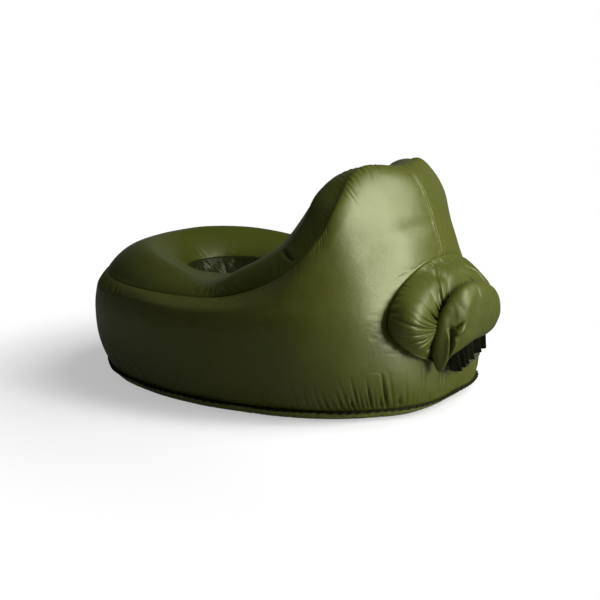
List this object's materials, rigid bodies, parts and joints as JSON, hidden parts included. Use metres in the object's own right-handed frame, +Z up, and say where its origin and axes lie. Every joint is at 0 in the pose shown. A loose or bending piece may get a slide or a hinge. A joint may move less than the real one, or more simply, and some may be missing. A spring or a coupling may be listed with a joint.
{
  "type": "inflatable kids lounge chair",
  "caption": "Air-filled kids lounge chair: ring seat rising into a back, filling neck rolled shut behind and held by a side-release buckle.",
  "frame": {"origin": "centre of the overall bounding box in plan, on the floor plane", "axes": "+Z up, +Y to the chair's rear, +X to the sitter's left"},
  "size_m": [0.71, 0.9104, 0.4822],
  "materials": {
    "outer_fabric": "satin coated polyester, olive",
    "inner_fabric": "satin coated polyester, olive",
    "base_fabric": "satin coated polyester, olive",
    "trim_fabric": "satin binding, dark olive",
    "seam_tape": "matte sealing tape",
    "webbing": "woven polyester webbing",
    "buckle_plastic": "fine matte acetal"
  },
  "bodies": {
    "chair": {"outer_panel_left": "outer_fabric", "outer_panel_right": "outer_fabric", "seat_back_panel": "inner_fabric", "well_cover": "inner_fabric", "well_sleeve": "base_fabric", "base_panel": "base_fabric", "base_welt": "trim_fabric", "top_seam_tape_left": "seam_tape", "top_seam_tape_right": "seam_tape", "neck_root_tape_left": "seam_tape", "neck_root_tape_right": "seam_tape", "front_seam_tape": "seam_tape", "rear_seam_tape_upper": "seam_tape", "neck_panel_left": "outer_fabric", "neck_panel_right": "outer_fabric", "mouth_fold": "inner_fabric", "closure_roll": "outer_fabric", "mouth_hem": "trim_fabric", "buckle_socket": "buckle_plastic", "tail_strap_left": "webbing", "tail_strap_right": "webbing"},
    "plug": {"buckle_plug": "buckle_plastic", "buckle_prong_upper": "buckle_plastic", "buckle_prong_lower": "buckle_plastic"}
  },
  "joints": [
    {"name": "buckle_release", "type": "slide", "parent": "chair", "child": "plug", "axis": [1, 0, 0], "range_m": [0, 0.015], "deforming": ["buckle_prong_upper", "buckle_prong_lower", "tail_strap_left"]}
  ]
}
